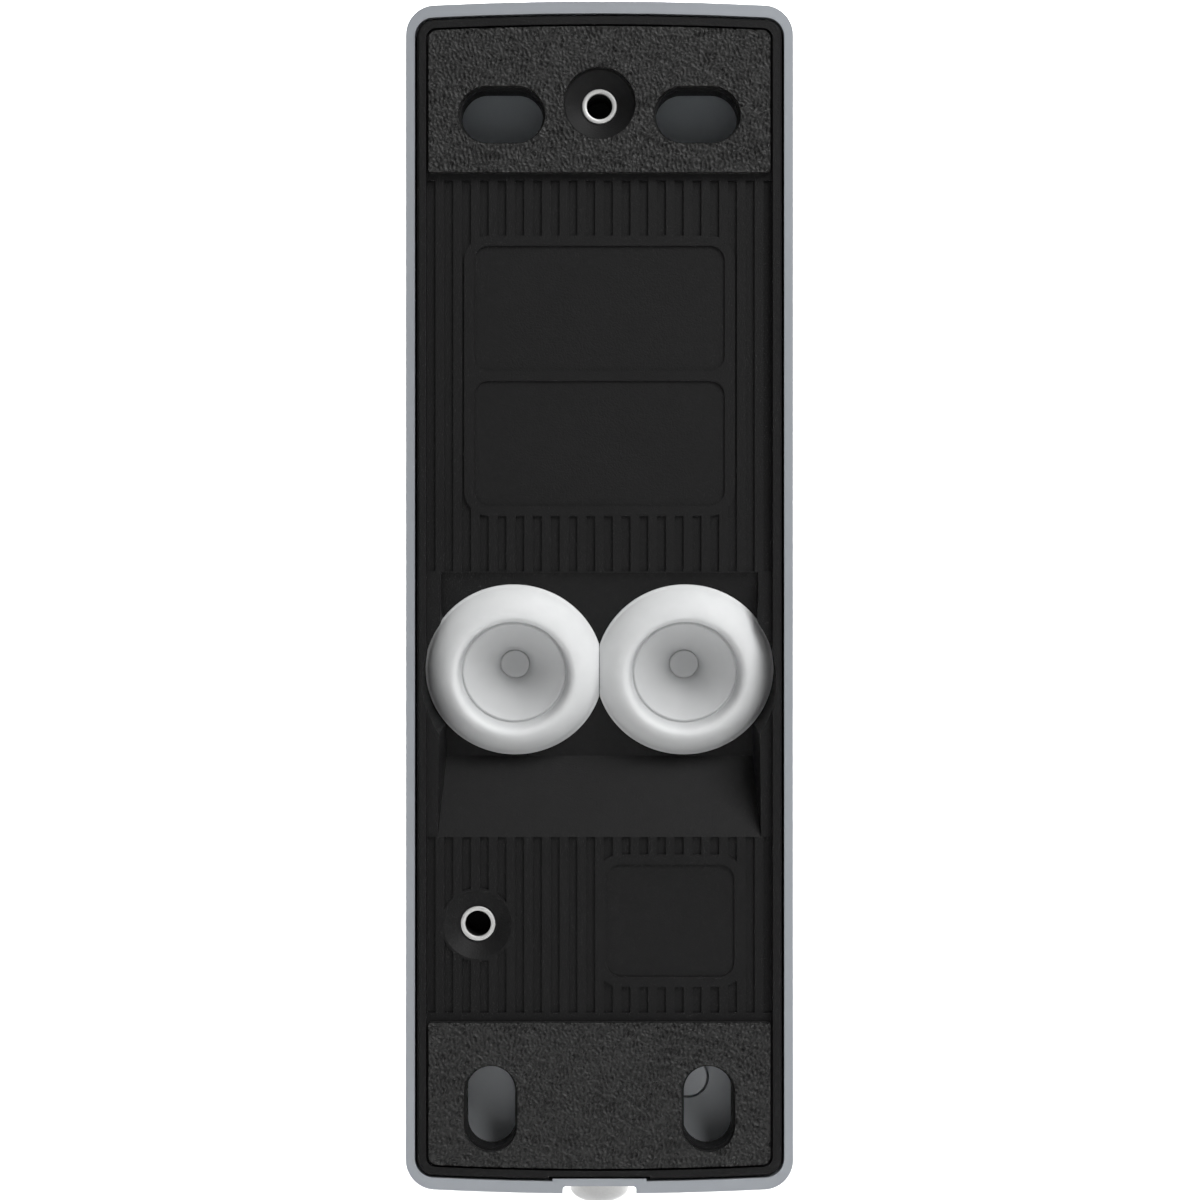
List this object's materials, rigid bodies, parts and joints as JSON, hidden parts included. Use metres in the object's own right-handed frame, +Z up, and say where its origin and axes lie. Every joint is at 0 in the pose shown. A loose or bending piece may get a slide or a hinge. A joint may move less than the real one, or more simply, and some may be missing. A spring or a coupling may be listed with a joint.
{
  "type": "slim door station",
  "caption": "Slim wall-mounted door station: metal cover over a black chassis with wall pads, slotted ears and a pocket of cable seals.",
  "frame": {"origin": "centre of the wall plane, on the faces of the wall pads", "axes": "+Z up, +Y into the wall, -Y toward the visitor"},
  "size_m": [0.052, 0.0313, 0.1622],
  "materials": {
    "black_moulding": "fine-grained moulded black",
    "wrinkled_foam": "coarse wrinkled dark foam",
    "white_rubber": "soft satin",
    "stainless_steel": "turned and polished",
    "black_foam": "open cell",
    "circuit_board": "green solder mask",
    "component_black": "matt",
    "socket_shell": "plain",
    "terminal_green": "satin",
    "lens_black": "satin",
    "lens_glass": "coated",
    "lamp_body": "clear",
    "ribbon": "amber film",
    "cone_paper": "pulp",
    "copper": "enamelled",
    "silver_paint": "fine satin silver",
    "black_pane": "gloss",
    "bonding_tape": "matt",
    "black_mesh": "woven",
    "diffuser": "translucent satin",
    "liner_paint": "fine satin silver",
    "clear_pane": "polished",
    "plated_magnet": "bright plating",
    "button_metal": "brushed dish"
  },
  "bodies": {
    "chassis": {"chassis": "black_moulding", "upper_wall_pad": "wrinkled_foam", "lower_wall_pad": "wrinkled_foam", "left_cable_gasket": "white_rubber", "right_cable_gasket": "white_rubber", "upper_thread_insert": "stainless_steel", "lower_thread_insert": "stainless_steel", "electronics_lid": "black_moulding", "lid_seal": "black_foam", "lid_screws": "stainless_steel", "main_board": "circuit_board", "board_parts": "component_black", "board_screws": "stainless_steel", "network_jack": "socket_shell", "terminal_block": "terminal_green", "camera_board": "circuit_board", "camera_screws": "stainless_steel", "lens_holder": "lens_black", "lens_barrel": "lens_black", "lens_element": "lens_glass", "led_board": "circuit_board", "infrared_leds": "lamp_body", "camera_flex": "ribbon", "speaker_basket": "socket_shell", "speaker_cone": "cone_paper", "speaker_seal": "black_foam", "call_switch": "component_black", "reset_switch": "component_black", "reader_board": "circuit_board", "reader_coil": "copper", "microphone": "socket_shell", "microphone_seal": "black_foam", "ring_led_board": "circuit_board", "ring_leds": "lamp_body", "tamper_sensor": "component_black"},
    "cover": {"cover_shell": "silver_paint", "upper_liner": "liner_paint", "lower_liner": "liner_paint", "front_window": "black_pane", "window_tape": "bonding_tape", "speaker_mesh": "black_mesh", "light_ring": "diffuser", "lens_cover_glass": "clear_pane", "microphone_foam": "black_foam", "tamper_magnet": "plated_magnet", "clamp_nut": "stainless_steel"},
    "call_button": {"call_button": "button_metal"},
    "reset_button": {"reset_button": "black_moulding"},
    "screw_washer": {"screw_washer": "stainless_steel"},
    "cover_screw": {"cover_screw": "stainless_steel"}
  },
  "joints": [
    {"name": "cover_swing", "type": "hinge", "parent": "chassis", "child": "cover", "pos_m": [0, -0.0015, 0.079], "axis": [-1, 0, 0], "range_deg": [0, 15]},
    {"name": "screw_slide", "type": "slide", "parent": "cover", "child": "screw_washer", "axis": [0, 0, -1], "range_m": [0, 0.0021]},
    {"name": "screw_turn", "type": "hinge", "parent": "screw_washer", "child": "cover_screw", "pos_m": [0, -0.0056, -0.079], "axis": [0, 0, -1], "range_deg": [0, 1081]},
    {"name": "call_press", "type": "slide", "parent": "cover", "child": "call_button", "axis": [0, 1, 0], "range_m": [0, 0.0007], "stiffness_N_per_m": 1500, "springref_m": -0.001},
    {"name": "reset_press", "type": "slide", "parent": "chassis", "child": "reset_button", "axis": [0, 1, 0], "range_m": [0, 0.0004], "stiffness_N_per_m": 500, "springref_m": -0.0005}
  ],
  "couplings": [
    {"joint": "screw_turn", "follows": "screw_slide", "rad_per_m": 8976}
  ]
}
